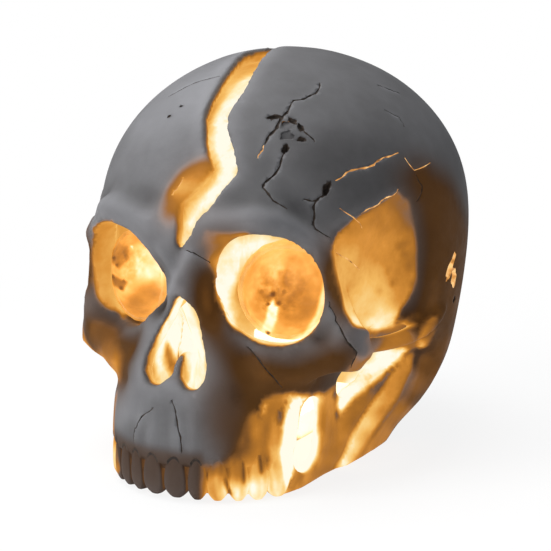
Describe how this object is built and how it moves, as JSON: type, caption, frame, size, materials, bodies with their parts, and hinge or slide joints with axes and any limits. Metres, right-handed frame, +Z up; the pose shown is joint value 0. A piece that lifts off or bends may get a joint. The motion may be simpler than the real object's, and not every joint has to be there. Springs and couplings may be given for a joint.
{
  "type": "skull decoration",
  "caption": "Hollow skull decoration without a lower jaw, with a cracked crown, open eye, nose and side holes, and a switched battery lamp with a hinged door in its flat base.",
  "frame": {"origin": "on the table, under the middle of the overall outline", "axes": "+Z up, the face looks along -Y, +X is the viewer's right when facing it"},
  "size_m": [0.1488, 0.1856, 0.167],
  "materials": {
    "shell_resin": "stone grey paint over amber resin, matte",
    "amber_resin": "mottled translucent amber",
    "ivory_plastic": "fine moulded texture",
    "black_plastic": "fine moulded texture",
    "knob_white": "satin",
    "board_green": "lacquered board",
    "led_epoxy": "clear epoxy",
    "frosted_plastic": "frosted",
    "plated_steel": "bright plating",
    "cell_sleeve": "plain sleeve",
    "red_insulation": "satin",
    "black_insulation": "satin"
  },
  "bodies": {
    "skull": {"base_cover": "ivory_plastic", "base_screw_1": "plated_steel", "base_screw_2": "plated_steel", "base_screw_3": "plated_steel", "base_screw_4": "plated_steel", "battery_1": "cell_sleeve", "battery_2": "cell_sleeve", "battery_3": "cell_sleeve", "board_screw_1": "plated_steel", "board_screw_2": "plated_steel", "contact_plate_1": "plated_steel", "contact_plate_2": "plated_steel", "contact_plate_3": "plated_steel", "contact_spring_1": "plated_steel", "contact_spring_2": "plated_steel", "contact_spring_3": "plated_steel", "diffuser_dome": "frosted_plastic", "eye_cup_left": "amber_resin", "eye_cup_right": "amber_resin", "lamp_board": "board_green", "lamp_led_1": "led_epoxy", "lamp_led_2": "led_epoxy", "lamp_led_3": "led_epoxy", "lamp_wire_black": "black_insulation", "lamp_wire_red": "red_insulation", "skull_shell": "shell_resin", "switch_body": "black_plastic", "switch_wire": "black_insulation"},
    "battery_door": {"battery_door": "ivory_plastic"},
    "switch_knob": {"switch_knob": "knob_white"}
  },
  "joints": [
    {"name": "door_hinge", "type": "hinge", "parent": "skull", "child": "battery_door", "pos_m": [0, -0.01482, 0.0021], "axis": [-1, 0, 0], "range_deg": [0, 100]},
    {"name": "knob_slide", "type": "slide", "parent": "skull", "child": "switch_knob", "axis": [1, 0, 0], "range_m": [-0.004, 0]}
  ]
}
